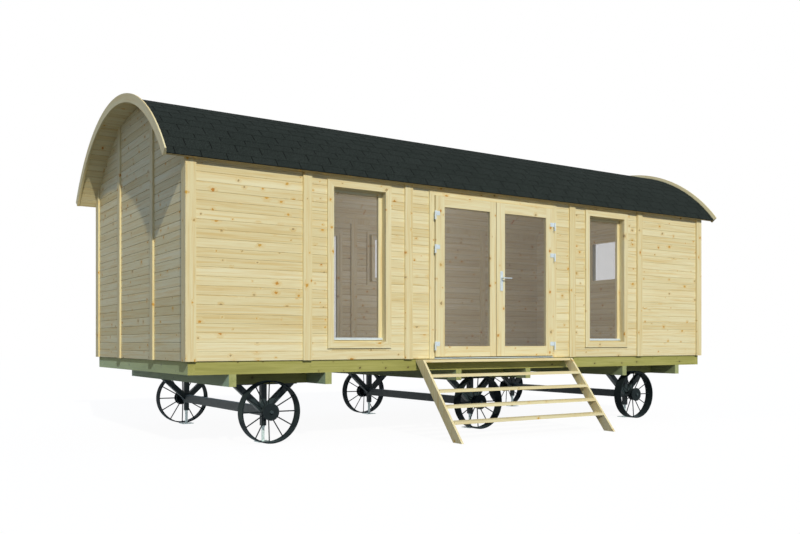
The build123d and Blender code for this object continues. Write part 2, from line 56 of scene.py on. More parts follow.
# Walls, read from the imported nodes
wall_foot = low("back_wall")[2]
front_face = low("front_wall_left")[1]
front_room = high("front_wall_left")[1]
back_face = high("back_wall")[1]
back_room = low("back_wall")[1]
left_face = low("left_gable_wall")[0]
left_room = high("left_gable_wall")[0]
right_face = high("right_gable_wall")[0]
right_room = low("right_gable_wall")[0]
mid_y = (front_face + back_face) / 2

# Roof curve: the skin ends square to the curve, so its two eave corners give the angle and the radii
boards_low = low("roof_boards")
boards_high = high("roof_boards")
skin_high = high("roof_shingles")
skin_thickness = skin_high[2] - boards_high[2]
eave_sine = (skin_high[1] - boards_high[1]) / skin_thickness
eave_angle = np.arcsin(eave_sine)
board_radius = (boards_high[1] - mid_y) / eave_sine
arch_z = boards_high[2] - board_radius
soffit_radius = (boards_low[2] - arch_z) / np.cos(eave_angle)
verge_mid_radius = (high("verge_board_left")[2] - arch_z + soffit_radius) / 2
roof_x0 = boards_low[0]
roof_x1 = boards_high[0]
wall_head = arch_z + np.sqrt(soffit_radius**2 - (front_face - mid_y) ** 2)
crown = arch_z + soffit_radius

# Wall, roof and floor boards
course_count = 22
course = (wall_head - wall_foot) / course_count
groove = 0.0042
least_strip = 2.5 * groove
least_course = 3 * groove
gable_tip_gap = 2 * groove
lining_groove = 0.0035
lining_count = 44
floor_count = 32
curve_clearance = 0.0005
grain_shift = 30.0

# Painted shade in the joints between boards: how dark it is on each wall, weaker on the sunlit front
front_joint_shade = 0.4
back_joint_shade = 1.0
gable_joint_shade = 0.75
inside_joint_shade = 1.0

# Felt tabs
tab_width = 0.2655
tab_slot = 0.008
tab_thickness = 0.0018
tab_lift = 0.0038
tab_fall = tab_lift - tab_thickness / 3
tab_lap = 0.045
tab_points = 4
spare_tabs = 3
least_tone = 0.3
first_slot = 0.082
first_courses = (0.102, 0.158, 0.107, 0.160, 0.148)
usual_course = 0.143
sheet_points = 65

# Starts of the random draws
front_seed = 3
back_seed = 5
left_gable_seed = 7
right_gable_seed = 11
lining_seed = 13
tab_seed = 17
floor_seed = 19


# Meshes


def prism_faces(count, corners, first=0):
    """Faces of closed prisms, from point `first` on, with `corners` points round either end."""
    i = np.arange(corners)
    j = (i + 1) % corners
    base = first + np.arange(count)[:, None] * 2 * corners
    sides = base[:, :, None] + np.stack([i, j, j + corners, i + corners], 1)[None]
    starts = base + i[::-1][None]
    ends = base + corners + i[None]
    return sides.reshape(-1, 4).tolist() + starts.tolist() + ends.tolist()


def add_piece(name, points, faces, material, replaced, attributes):
    """Put computed corners into a mesh with its own attributes, and set it riding on the hut."""
    mesh = bpy.data.meshes.new(name)
    mesh.from_pydata(np.asarray(points).reshape(-1, 3).tolist(), [], faces)
    mesh.update()
    for key, values in attributes.items():
        kind, field = ("FLOAT_VECTOR", "vector") if key == "grain" else ("FLOAT", "value")
        layer = mesh.attributes.new(key, kind, "POINT")
        layer.data.foreach_set(field, np.asarray(values, np.float32).reshape(-1))
    mesh.materials.append(material)
    piece = bpy.data.objects.new(name, mesh)
    bpy.context.scene.collection.objects.link(piece)
    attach(piece, "hut")
    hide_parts(*replaced)


def board_profile(width, depth, chamfer):
    """Eight corners of a board's section: width by depth with the four edges cut off at 45 degrees."""
    across = np.array([chamfer, -chamfer, 0, 0, -chamfer, chamfer, 0, 0])
    far_side = np.array([0, 1, 1, 1, 1, 0, 0, 0])
    through = np.array([0, 0, chamfer, depth - chamfer, depth, depth, depth - chamfer, chamfer])
    return across + far_side * np.asarray(width)[..., None], through


def board_attributes(points, along, seed, joint_shade_depth):
    """Grain coordinates, length first and moved by a random share for each board, one tone a board,
    and painted shade on the corners of the section that lie in the joint with the next board.
    """
    rng = np.random.default_rng(seed)
    count = points.shape[0]
    order = [along] + [axis for axis in range(3) if axis != along]
    grain = points[..., order] + rng.uniform(-grain_shift, grain_shift, (count, 1, 1, 3))
    tone = np.broadcast_to(rng.uniform(0, 1, (count, 1, 1)), points.shape[:3])
    in_joint = np.array([0, 0, 1, 1, 0, 0, 1, 1])
    # Painted shade on the corners that lie in the joints, as deep as the wall's amount
    joint = np.broadcast_to(joint_shade_depth * in_joint, points.shape[:3])
    return {"grain": grain, "tone": tone, "joint": joint}


def cut_course(start, end, foot, top, holes):
    """One course cut round its openings: whole lengths beside them, strips under and over them."""
    pieces = []
    for hole_start, hole_end, hole_foot, hole_head in sorted(holes):
        if foot < hole_head and top > hole_foot:
            pieces.append((start, hole_start, foot, top))
            strips = [(foot, hole_foot), (hole_head, top)]
            pieces += [(hole_start, hole_end, z0, z1) for z0, z1 in strips if z1 - z0 > least_strip]
            start = hole_end
    return pieces + [(start, end, foot, top)]


def carried(y, z, first, last):
    """Sections in Y and Z carried along the hut: a copy at the first station and one at the last."""
    ends = [np.stack([np.full_like(y, x), y, z], -1) for x in (first, last)]
    return np.stack(ends, y.ndim - 1)


def wall_of_boards(name, axis, outer, inner, start, end, head, holes, replaced, seed, joint_shade_depth):
    """Level boards: the grooved section carried along the wall, once for each length of each course.

    Courses rise from the wall's foot by one board width and are cut round the openings. Where the wall
    rises past the eaves, each corner of a section ends on the vault.
    """
    levels = np.append(np.arange(wall_foot, head - least_course, course), head)
    rows = []
    for foot, top in zip(levels[:-1], levels[1:]):
        rows += cut_course(start, end, foot, top, holes)
    rows = np.array(rows)
    across, through = board_profile(rows[:, 3] - rows[:, 2], abs(inner - outer), groove)
    z = rows[:, 2, None] + across
    t = np.broadcast_to(outer + np.sign(inner - outer) * through, z.shape)
    rise = np.maximum(z - arch_z, 0)
    vault = np.sqrt(np.maximum(soffit_radius**2 - rise**2, 0)) - curve_clearance
    first = np.broadcast_to(rows[:, 0, None], z.shape)
    last = np.broadcast_to(rows[:, 1, None], z.shape)
    if axis == 1:
        first = np.maximum(first, mid_y - vault)
        last = np.minimum(last, mid_y + vault)
        ends = [np.stack([t, u, z], -1) for u in (first, last)]
    else:
        ends = [np.stack([u, t, z], -1) for u in (first, last)]
    points = np.stack(ends, 1)
    if (inner > outer) == (axis == 1):
        points = points[:, ::-1]
    attributes = board_attributes(points, axis, seed, joint_shade_depth)
    faces = prism_faces(len(rows), through.size)
    add_piece(name, points, faces, cladding_spruce, replaced, attributes)


def roof_lining():
    """Roof boards: the grooved section bent to the vault and carried along it, at equal angles round it."""
    step = 2 * eave_angle / lining_count
    depth = board_radius - soffit_radius
    across, through = board_profile(step * board_radius, depth, lining_groove)
    angle = -eave_angle + step * np.arange(lining_count)[:, None] + across[None] / board_radius
    radius = board_radius - through[None]
    y = mid_y + radius * np.sin(angle)
    z = arch_z + radius * np.cos(angle)
    points = carried(y, z, roof_x1, roof_x0)
    attributes = board_attributes(points, 0, lining_seed, inside_joint_shade)
    faces = prism_faces(lining_count, through.size)
    add_piece("roof_lining_boards", points, faces, cladding_spruce, ["roof_boards"], attributes)


def floor_of_boards():
    """Floor boards: the grooved section repeated across the room and carried along it."""
    near, far = low("floor_deck"), high("floor_deck")
    width = (far[1] - near[1]) / floor_count
    across, through = board_profile(width, far[2] - near[2], lining_groove)
    y = near[1] + width * np.arange(floor_count)[:, None] + across[None]
    z = np.broadcast_to(far[2] - through, y.shape)
    points = carried(y, z, far[0], near[0])
    attributes = board_attributes(points, 0, floor_seed, inside_joint_shade)
    faces = prism_faces(floor_count, through.size)
    add_piece("floor_boards", points, faces, cladding_spruce, ["floor_deck"], attributes)


def felt_shingles():
    """Felt tabs: courses up both slopes, every other one moved by half a tab, on one bent sheet.

    A tab is a thin plate that follows the vault. Its lower edge stands off the sheet by its own
    thickness and more, and its upper end goes under the next course. The sheet shows in the slots,
    coloured near black as painted shade.
    """
    slope_length = eave_angle * board_radius
    felt_sheet = skin_thickness - tab_lift
    rises = list(first_courses)
    while sum(rises) < slope_length:
        rises.append(usual_course)
    foot = np.concatenate([[0], np.cumsum(rises)])[:-1]
    count = int((roof_x1 - roof_x0) / tab_width) + spare_tabs
    grid = np.meshgrid(np.arange(len(rises)), np.arange(count), np.array([-1, 1]), indexing="ij")
    row, col, side = [part.ravel() for part in grid]
    stagger = np.where(row % 2, 0.5, 0.0)
    edge = roof_x0 + first_slot + (col - 1 - stagger) * tab_width
    x0 = np.maximum(edge + tab_slot / 2, roof_x0)
    x1 = np.minimum(edge + tab_width - tab_slot / 2, roof_x1)
    keep = x1 - x0 > tab_slot
    row, side, x0, x1 = row[keep], side[keep], x0[keep], x1[keep]
    arc_low = foot[row]
    arc_high = np.minimum(arc_low + np.array(rises)[row] + tab_lap, slope_length)
    share = np.linspace(0, 1, tab_points)
    arc = arc_low[:, None] + (arc_high - arc_low)[:, None] * share
    angle = eave_angle - np.concatenate([arc, arc[:, ::-1]], 1) / board_radius
    top = skin_thickness - tab_fall * share
    under = np.maximum(top - tab_thickness, felt_sheet / 2)
    radius = board_radius + np.concatenate([top, under[::-1]])[None]
    y = mid_y + side[:, None] * radius * np.sin(angle)
    z = arch_z + radius * np.cos(angle)
    near = np.where(side > 0, x1, x0)[:, None] + 0 * y
    away = np.where(side > 0, x0, x1)[:, None] + 0 * y
    points = np.stack([np.stack([near, y, z], -1), np.stack([away, y, z], -1)], 1)
    draw = np.random.default_rng(tab_seed).uniform(0, 1, (row.size, 1, 1))
    tone = np.broadcast_to(draw, points.shape[:3])
    sheet_angle = np.linspace(-eave_angle, eave_angle, sheet_points)
    sheet_angle = np.concatenate([sheet_angle, sheet_angle[::-1]])
    sheet_radius = board_radius + np.repeat([felt_sheet, 0.0], sheet_points)
    sheet_y = mid_y + sheet_radius * np.sin(sheet_angle)
    sheet_z = arch_z + sheet_radius * np.cos(sheet_angle)
    sheet = carried(sheet_y, sheet_z, roof_x1, roof_x0)
    all_points = np.concatenate([points.reshape(-1, 3), sheet.reshape(-1, 3)])
    tab_tones = least_tone + (1 - least_tone) * tone.reshape(-1)
    # The sheet takes the bottom of the felt ramp, near black: painted shade in the slots
    sheet_tones = np.zeros(sheet.size // 3)
    attributes = {"tone": np.concatenate([tab_tones, sheet_tones])}
    tab_faces = prism_faces(row.size, angle.shape[1])
    sheet_faces = prism_faces(1, sheet_angle.size, points.size // 3)
    faces = tab_faces + sheet_faces
    add_piece("shingle_tabs", all_points, faces, shingle_felt, ["roof_shingles"], attributes)


# Shader steps


def new_material(name):
    """A material with its shader and output, ready for linking."""
    material = bpy.data.materials.new(name)
    material.use_nodes = True
    return material, material.node_tree, material.node_tree.nodes["Principled BSDF"]


def feed(tree, socket, value):
    """Set a socket to a constant, or link it to another."""
    if isinstance(value, bpy.types.NodeSocket):
        tree.links.new(value, socket)
    elif isinstance(value, tuple) and len(socket.default_value) == 4:
        socket.default_value = (*value, 1)
    else:
        socket.default_value = value


def maths(tree, operation, *values):
    """One arithmetic step."""
    node = tree.nodes.new("ShaderNodeMath")
    node.operation = operation
    for socket, value in zip(node.inputs, values):
        feed(tree, socket, value)
    return node.outputs[0]


def length_of(tree, a, b):
    """Root of the sum of two squares."""
    squares = [maths(tree, "MULTIPLY", value, value) for value in (a, b)]
    return maths(tree, "SQRT", maths(tree, "ADD", *squares))


def apart(tree, value, centre):
    """How far a value lies from a centre."""
    return maths(tree, "ABSOLUTE", maths(tree, "SUBTRACT", value, float(centre)))


def blend(tree, factor, a, b, mode="MIX"):
    """Lay colour b over colour a."""
    node = tree.nodes.new("ShaderNodeMix")
    node.data_type = "RGBA"
    node.blend_type = mode
    for index, value in ((0, factor), (6, a), (7, b)):
        feed(tree, node.inputs[index], value)
    return node.outputs[2]


def ramp(tree, factor, *stops):
    """Colour, or grey where a stop is one number, by place along a ramp."""
    node = tree.nodes.new("ShaderNodeValToRGB")
    elements = node.color_ramp.elements
    while len(elements) < len(stops):
        elements.new(1.0)
    for element, (at, colour) in zip(elements, stops):
        element.position = at
        element.color = (*colour, 1) if isinstance(colour, tuple) else (colour, colour, colour, 1)
    feed(tree, node.inputs[0], factor)
    return node.outputs[0]


def shaded(tree, colour, amount, factor, stops):
    """Multiply a colour by a ramp, as strongly as the amount says."""
    return blend(tree, amount, colour, ramp(tree, factor, *stops), "MULTIPLY")


def tinted(stops, body):
    """Ramp stops with their colours times a tint: the wood's own body colour, or painted shade and light on
    the bearers and inner beams.
    """
    return [(at, tuple(float(v) for v in np.multiply(shade, body))) for at, shade in stops]


def cloud(tree, vector, stretch, detail, roughness=0.55, twist=0.0):
    """Noise over a vector stretched by three factors."""
    scaled = tree.nodes.new("ShaderNodeVectorMath")
    scaled.operation = "MULTIPLY"
    feed(tree, scaled.inputs[0], vector)
    scaled.inputs[1].default_value = stretch
    node = tree.nodes.new("ShaderNodeTexNoise")
    feed(tree, node.inputs["Vector"], scaled.outputs[0])
    node.inputs["Scale"].default_value = 1.0
    node.inputs["Detail"].default_value = detail
    node.inputs["Roughness"].default_value = roughness
    node.inputs["Distortion"].default_value = twist
    return node.outputs[0]


def relief(tree, shader, height, strength, distance):
    """Bump from a height."""
    node = tree.nodes.new("ShaderNodeBump")
    node.inputs["Strength"].default_value = strength
    node.inputs["Distance"].default_value = distance
    feed(tree, node.inputs["Height"], height)
    feed(tree, shader.inputs["Normal"], node.outputs[0])


def spot(tree):
    """Object coordinates as one vector."""
    return tree.nodes.new("ShaderNodeTexCoord").outputs["Object"]


def place(tree):
    """The three Object coordinates."""
    parts = tree.nodes.new("ShaderNodeSeparateXYZ")
    feed(tree, parts.inputs[0], spot(tree))
    return parts.outputs[0], parts.outputs[1], parts.outputs[2]


def vector_of(tree, *values):
    """Three values as one vector."""
    node = tree.nodes.new("ShaderNodeCombineXYZ")
    for socket, value in zip(node.inputs, values):
        feed(tree, socket, value)
    return node.outputs[0]


def own_value(tree, name, output):
    """An attribute stored on the piece."""
    node = tree.nodes.new("ShaderNodeAttribute")
    node.attribute_name = name
    return node.outputs[output]


# Grain: length along the fibre first, then the two ways across it


def board_grain(tree):
    """Grain stored on each board."""
    return own_value(tree, "grain", "Vector")


def straight_grain(axis):
    """Grain along one axis of the hut."""
    order = [axis] + [other for other in range(3) if other != axis]

    def build(tree):
        parts = place(tree)
        return vector_of(tree, *[parts[k] for k in order])

    return build


def curved_grain(tree):
    """Grain round the roof curve: the arc about its centre, the distance from that centre, then X."""
    x, y, z = place(tree)
    out = maths(tree, "SUBTRACT", y, float(mid_y))
    rise = maths(tree, "SUBTRACT", z, float(arch_z))
    turn = maths(tree, "MULTIPLY", maths(tree, "ARCTAN2", out, rise), float(verge_mid_radius))
    return vector_of(tree, turn, length_of(tree, out, rise), x)


def framed_grain(node, axis, rails_between=None):
    """Grain of a frame: along its rails at head and foot, and upright on its stiles.

    Rails meet the stiles on a mitre, or fall between two stated stations along the wall.
    """
    a, b = low(node), high(node)

    def build(tree):
        parts = place(tree)
        along, depth, z = parts[axis], parts[1 - axis], parts[2]
        if rails_between is None:
            centre = (a + b) / 2
            half = (b - a) / 2
            from_side = maths(tree, "SUBTRACT", float(half[axis]), apart(tree, along, centre[axis]))
            from_end = maths(tree, "SUBTRACT", float(half[2]), apart(tree, z, centre[2]))
            rail = maths(tree, "LESS_THAN", from_end, from_side)
        else:
            centre = sum(rails_between) / 2
            half = abs(rails_between[1] - rails_between[0]) / 2
            rail = maths(tree, "LESS_THAN", apart(tree, along, centre), float(half))
        node_mix = tree.nodes.new("ShaderNodeMix")
        node_mix.data_type = "VECTOR"
        feed(tree, node_mix.inputs[0], rail)
        feed(tree, node_mix.inputs[4], vector_of(tree, z, along, depth))
        feed(tree, node_mix.inputs[5], vector_of(tree, along, z, depth))
        return node_mix.outputs[1]

    return build


# Knots: cells a metre along and across the grain, and how a knot fades out
knot_cells = (3.6, 9.4)
knot_stretch = 1.25
knot_spread = 1.6
knot_edge = (0.72, 1.0), (1.0, 0.0)
halo_reach = 3.2
halo_edge = (0.2, 1.0), (1.0, 0.0)
uneven_cells = (55.0, 75.0, 75.0)
uneven_reach = 0.030

# Spruce: ramp stops and the strength of each layer
plain_body = (1.0, 1.0, 1.0)
post_body = (0.965, 0.945, 0.895)
straw = (0.28, (0.780, 0.692, 0.398)), (0.50, (0.825, 0.756, 0.468)), (0.75, (0.850, 0.792, 0.518))
honey_streak = (0.30, (0.86, 0.68, 0.42)), (0.56, 1.0)
honey_strength = 0.68
spruce_fibre = (0.28, (0.86, 0.82, 0.74)), (0.62, 1.0)
fibre_strength = 0.40
board_tone = (0.0, (0.920, 0.885, 0.810)), (0.5, 0.990), (1.0, (1.03, 1.03, 1.04))
# Painted shade in the joints between boards, by the joint attribute
joint_shade_ramp = (0.1, 1.0), (1.0, (0.50, 0.45, 0.36))
amber = (0.0, (0.500, 0.195, 0.018)), (0.6, (0.640, 0.355, 0.040)), (0.80, (0.380, 0.280, 0.130))
amber_strength = 0.92
amber_halo = (0.720, 0.510, 0.190)
amber_halo_strength = 0.50
amber_radius = 0.0055
amber_growth = 0.0130
knot_bend = 0.035
knot_relief = 0.6
spruce_gloss = (0.3, 0.60), (0.7, 0.74)
frame_knots = 0.40
leaf_knots = 0.50

# Treated timber
olive = (0.28, (0.320, 0.315, 0.088)), (0.52, (0.415, 0.402, 0.118)), (0.75, (0.475, 0.455, 0.165))
olive_streak = (0.32, (0.60, 0.62, 0.42)), (0.60, 1.0)
olive_streak_strength = 0.50
drying_check = (0.25, (0.26, 0.25, 0.16)), (0.33, 1.0)
check_strength = 0.60
umber = (0.3, (0.085, 0.062, 0.024)), (0.8, (0.190, 0.140, 0.045))
umber_share = 0.55
umber_strength = 0.90
umber_halo = (0.230, 0.205, 0.060)
umber_halo_strength = 0.35
umber_radius = 0.0035
umber_growth = 0.010
treated_gloss = (0.3, 0.56), (0.7, 0.70)
treated_sheen_tint = (0.27, 0.52, 0.55, 1)
# Painted shade: a cool tint on the cross bearers, whose faces lie in the shade under the hut
bearer_cool_shade_tint = (0.93, 0.98, 1.05)
# Painted light: the wheel beams are made lighter and bluer for the light they lack in the shade under the hut
inner_painted_light_tint = (1.15, 1.20, 1.40)

# Steel, felt and glass
gloss_swing = 0.07
steel_sheen_spread = 0.35
steel_sheen_tint = (0.72, 1.0, 0.98, 1)
# Felt tones for the tabs; the first stop, near black, is painted shade for the sheet in the slots
felt_tone_and_slot_shade = (0.0, 0.004), (least_tone, (0.0365, 0.0460, 0.0405)), (1.0, (0.0400, 0.0497, 0.0440))
felt_grit = (0.34, 0.32), (0.66, 1.0)
grit_strength = 0.95
felt_patch = (0.35, 0.82), (0.65, 1.0)
patch_strength = 0.50
felt_gloss = (0.3, 0.90), (0.7, 1.0)
pane_tint = (0.3, (0.264, 0.264, 0.269)), (0.7, (0.296, 0.296, 0.301))
pane_gloss = (0.3, 0.03), (0.7, 0.07)


def knots(tree, grain, share, smallest, growth):
    """Knots: one place in each cell of a loose grid along and across the grain, kept in a share of cells.

    Returns how deep a point lies in a knot, how near it is to one, and a random number for its colour.
    """
    parts = tree.nodes.new("ShaderNodeSeparateXYZ")
    feed(tree, parts.inputs[0], grain)
    wander = cloud(tree, grain, uneven_cells, detail=2.0)
    uneven = maths(tree, "MULTIPLY_ADD", wander, uneven_reach, -uneven_reach / 2)
    width = maths(tree, "ADD", maths(tree, "ADD", parts.outputs[1], parts.outputs[2]), uneven)
    along = maths(tree, "MULTIPLY", maths(tree, "ADD", parts.outputs[0], uneven), knot_cells[0])
    across = maths(tree, "MULTIPLY", width, knot_cells[1])
    cells = tree.nodes.new("ShaderNodeTexVoronoi")
    cells.voronoi_dimensions = "2D"
    cells.inputs["Scale"].default_value = 1.0
    feed(tree, cells.inputs["Vector"], vector_of(tree, along, across, 0.0))
    centre = tree.nodes.new("ShaderNodeSeparateXYZ")
    feed(tree, centre.inputs[0], cells.outputs["Position"])
    random = tree.nodes.new("ShaderNodeSeparateColor")
    feed(tree, random.inputs[0], cells.outputs["Color"])
    off_along = maths(tree, "SUBTRACT", along, centre.outputs[0])
    off_along = maths(tree, "DIVIDE", off_along, knot_cells[0] * knot_stretch)
    off_across = maths(tree, "SUBTRACT", across, centre.outputs[1])
    off_across = maths(tree, "DIVIDE", off_across, knot_cells[1])
    radius = maths(tree, "POWER", random.outputs[1], knot_spread)
    radius = maths(tree, "MULTIPLY_ADD", radius, growth, smallest)
    depth = maths(tree, "DIVIDE", length_of(tree, off_along, off_across), radius)
    kept = maths(tree, "LESS_THAN", random.outputs[0], share)
    core = maths(tree, "MULTIPLY", kept, ramp(tree, depth, *knot_edge))
    nearness = ramp(tree, maths(tree, "DIVIDE", depth, halo_reach), *halo_edge)
    halo = maths(tree, "MULTIPLY", kept, nearness)
    return core, halo, random.outputs[2]


def planed_spruce(name, build_grain, knot_share, toned=False, body=plain_body):
    """Planed spruce: pale straw body, honey streaks along the grain, fine fibres and small amber knots."""
    material, tree, shader = new_material(name)
    grain = build_grain(tree)
    core, halo, pick = knots(tree, grain, knot_share, amber_radius, amber_growth)
    bend = tree.nodes.new("ShaderNodeVectorMath")
    bend.operation = "ADD"
    feed(tree, bend.inputs[0], grain)
    feed(tree, bend.inputs[1], vector_of(tree, 0.0, maths(tree, "MULTIPLY", halo, knot_bend), 0.0))
    broad = cloud(tree, grain, stretch=(0.55, 8.0, 8.0), detail=3.0, roughness=0.5, twist=0.4)
    streak = cloud(tree, bend.outputs[0], stretch=(1.3, 46.0, 46.0), detail=4.0, roughness=0.6, twist=0.5)
    fibre = cloud(tree, grain, stretch=(8.0, 380.0, 380.0), detail=2.0, roughness=0.5)
    colour = ramp(tree, broad, *tinted(straw, body))
    colour = shaded(tree, colour, honey_strength, streak, honey_streak)
    colour = shaded(tree, colour, fibre_strength, fibre, spruce_fibre)
    if toned:
        colour = shaded(tree, colour, 1.0, own_value(tree, "tone", "Fac"), board_tone)
        # Painted shade down in the V-joints between boards
        colour = shaded(tree, colour, 1.0, own_value(tree, "joint", "Fac"), joint_shade_ramp)
    colour = blend(tree, maths(tree, "MULTIPLY", halo, amber_halo_strength), colour, amber_halo)
    colour = blend(tree, maths(tree, "MULTIPLY", core, amber_strength), colour, ramp(tree, pick, *amber))
    feed(tree, shader.inputs["Base Color"], colour)
    feed(tree, shader.inputs["Roughness"], ramp(tree, streak, *spruce_gloss))
    shader.inputs["Specular IOR Level"].default_value = 0.22
    height = maths(tree, "ADD", fibre, maths(tree, "MULTIPLY", core, knot_relief))
    relief(tree, shader, height, strength=0.18, distance=0.001)
    return material


def treated_timber(name, axis, specular=0.2, sheen=0.6, spread=0.35, body=plain_body):
    """Pressure-treated softwood: green-yellow body, darker streaks, drying checks and dark brown knots."""
    material, tree, shader = new_material(name)
    grain = straight_grain(axis)(tree)
    broad = cloud(tree, grain, stretch=(0.9, 7.0, 7.0), detail=4.0, roughness=0.6, twist=0.4)
    streak = cloud(tree, grain, stretch=(1.8, 60.0, 60.0), detail=4.0, roughness=0.6, twist=0.3)
    check = cloud(tree, grain, stretch=(2.2, 150.0, 150.0), detail=2.0, roughness=0.5)
    core, halo, pick = knots(tree, grain, umber_share, umber_radius, umber_growth)
    colour = ramp(tree, broad, *tinted(olive, body))
    colour = shaded(tree, colour, olive_streak_strength, streak, olive_streak)
    colour = shaded(tree, colour, check_strength, check, drying_check)
    colour = blend(tree, maths(tree, "MULTIPLY", halo, umber_halo_strength), colour, umber_halo)
    colour = blend(tree, maths(tree, "MULTIPLY", core, umber_strength), colour, ramp(tree, pick, *umber))
    feed(tree, shader.inputs["Base Color"], colour)
    feed(tree, shader.inputs["Roughness"], ramp(tree, streak, *treated_gloss))
    shader.inputs["Specular IOR Level"].default_value = specular
    shader.inputs["Sheen Weight"].default_value = sheen
    shader.inputs["Sheen Roughness"].default_value = spread
    shader.inputs["Sheen Tint"].default_value = treated_sheen_tint
    relief(tree, shader, maths(tree, "ADD", streak, check), strength=0.25, distance=0.0015)
    return material


def coated_steel(name, colour, roughness, mottle, size, specular, metallic=0.0, sheen=0.0):
    """Steel under paint or zinc: a mottled tone, gloss that varies with it, and a cool sheen."""
    material, tree, shader = new_material(name)
    patches = cloud(tree, spot(tree), stretch=(size, size, size), detail=4.0, roughness=0.6)
    dark = tuple(v * (1 - mottle) for v in colour)
    light = tuple(v * (1 + mottle) for v in colour)
    tone = (0.34, dark), (0.66, light)
    gloss = (0.3, roughness - gloss_swing), (0.7, roughness + gloss_swing)
    feed(tree, shader.inputs["Base Color"], ramp(tree, patches, *tone))
    feed(tree, shader.inputs["Roughness"], ramp(tree, patches, *gloss))
    shader.inputs["Metallic"].default_value = metallic
    shader.inputs["Specular IOR Level"].default_value = specular
    shader.inputs["Sheen Weight"].default_value = sheen
    shader.inputs["Sheen Roughness"].default_value = steel_sheen_spread
    shader.inputs["Sheen Tint"].default_value = steel_sheen_tint
    relief(tree, shader, patches, strength=0.05, distance=0.001)
    return material


def mineral_felt():
    """Bitumen felt with slate grit: near black with a green cast, a tone to each tab and worn patches."""
    material, tree, shader = new_material("shingle_felt")
    here = spot(tree)
    grit = cloud(tree, here, stretch=(90.0, 90.0, 90.0), detail=3.0, roughness=0.75)
    patch = cloud(tree, here, stretch=(3.0, 3.0, 3.0), detail=4.0, roughness=0.6)
    colour = ramp(tree, own_value(tree, "tone", "Fac"), *felt_tone_and_slot_shade)
    colour = shaded(tree, colour, grit_strength, grit, felt_grit)
    colour = shaded(tree, colour, patch_strength, patch, felt_patch)
    feed(tree, shader.inputs["Base Color"], colour)
    feed(tree, shader.inputs["Roughness"], ramp(tree, grit, *felt_gloss))
    shader.inputs["Specular IOR Level"].default_value = 0.02
    relief(tree, shader, grit, strength=0.6, distance=0.002)
    return material


def glazing():
    """Sealed glazing: see-through with a grey-brown tint, and a slight wave in its tint and gloss."""
    material, tree, shader = new_material("pane_glass")
    shader.inputs["Alpha"].default_value = 0.18
    shader.inputs["Specular IOR Level"].default_value = 0.25
    wave = cloud(tree, spot(tree), stretch=(1.4, 1.4, 1.4), detail=1.0, roughness=0.4)
    feed(tree, shader.inputs["Base Color"], ramp(tree, wave, *pane_tint))
    feed(tree, shader.inputs["Roughness"], ramp(tree, wave, *pane_gloss))
    relief(tree, shader, wave, strength=0.03, distance=0.002)
    return material


cladding_spruce = planed_spruce("cladding_spruce", board_grain, knot_share=0.55, toned=True)
upright_spruce = planed_spruce("upright_spruce", straight_grain(2), knot_share=0.50, body=post_body)
tread_spruce = planed_spruce("tread_spruce", straight_grain(0), knot_share=0.25)
stringer_spruce = planed_spruce("stringer_spruce", straight_grain(2), knot_share=0.15)
verge_spruce = planed_spruce("verge_spruce", curved_grain, knot_share=0.10)
treated_long = treated_timber("treated_timber_long", 0)
treated_cross = treated_timber("treated_timber_cross", 1)
# The bearers' copy carries a cool tint of painted shade
treated_bearer = treated_timber(
    "treated_timber_bearer", 1, specular=0.5, sheen=1.0, spread=0.60, body=bearer_cool_shade_tint
)
# The inner beams' copy is lightened and cooled as painted light
treated_inner = treated_timber("treated_timber_inner", 0, specular=0.3, body=inner_painted_light_tint)
# Painted light: the axle frames' coat is lighter and bluer than the wheels', for their place in the shade
# under the hut
black_steel = coated_steel(
    "black_steel", (0.0215, 0.0370, 0.0415), roughness=0.50, mottle=0.15, size=25.0, specular=0.35, sheen=0.50
)
wheel_steel = coated_steel(
    "wheel_steel", (0.0185, 0.0260, 0.0282), roughness=0.60, mottle=0.15, size=25.0, specular=0.04, sheen=0.22
)
galvanised_steel = coated_steel(
    "galvanised_steel", (0.660, 0.800, 0.790), roughness=0.45, mottle=0.12, size=45.0, specular=0.5,
    metallic=0.45,
)
zinc_plate = coated_steel(
    "zinc_plate", (0.640, 0.730, 0.770), roughness=0.42, mottle=0.06, size=30.0, specular=0.5, metallic=0.20
)
shingle_felt = mineral_felt()
pane_glass = glazing()

# Cladding, roof and floor
casing_cover = 0.054


def window_hole(node, axis):
    """The wall opening behind a window, which its casing covers all round."""
    a, b = low(node), high(node)
    return (a[axis] + casing_cover, b[axis] - casing_cover, a[2] + casing_cover, b[2] - casing_cover)


door_hole = (low("door_frame")[0], high("door_frame")[0], wall_foot, high("door_frame")[2])
front_holes = [window_hole("window_front_left", 0), window_hole("window_front_right", 0), door_hole]
front_nodes = ["front_wall_left", "front_wall_right", "front_wall_over_door"]
back_holes = [window_hole("window_back_tall", 0), window_hole("window_back_small", 0)]
gable_holes = [window_hole("window_right_gable", 1)]
long_ends = (left_room, right_room, wall_head)
gable_ends = (front_face, back_face, crown - gable_tip_gap)
wall_of_boards(
    "front_cladding", 0, front_face, front_room, *long_ends, front_holes, front_nodes, front_seed, front_joint_shade
)
wall_of_boards(
    "back_cladding", 0, back_face, back_room, *long_ends, back_holes, ["back_wall"], back_seed, back_joint_shade
)
wall_of_boards(
    "left_gable_cladding", 1, left_face, left_room, *gable_ends, [], ["left_gable_wall"],
    left_gable_seed, gable_joint_shade,
)
wall_of_boards(
    "right_gable_cladding", 1, right_face, right_room, *gable_ends, gable_holes, ["right_gable_wall"],
    right_gable_seed, gable_joint_shade,
)
roof_lining()
floor_of_boards()
felt_shingles()

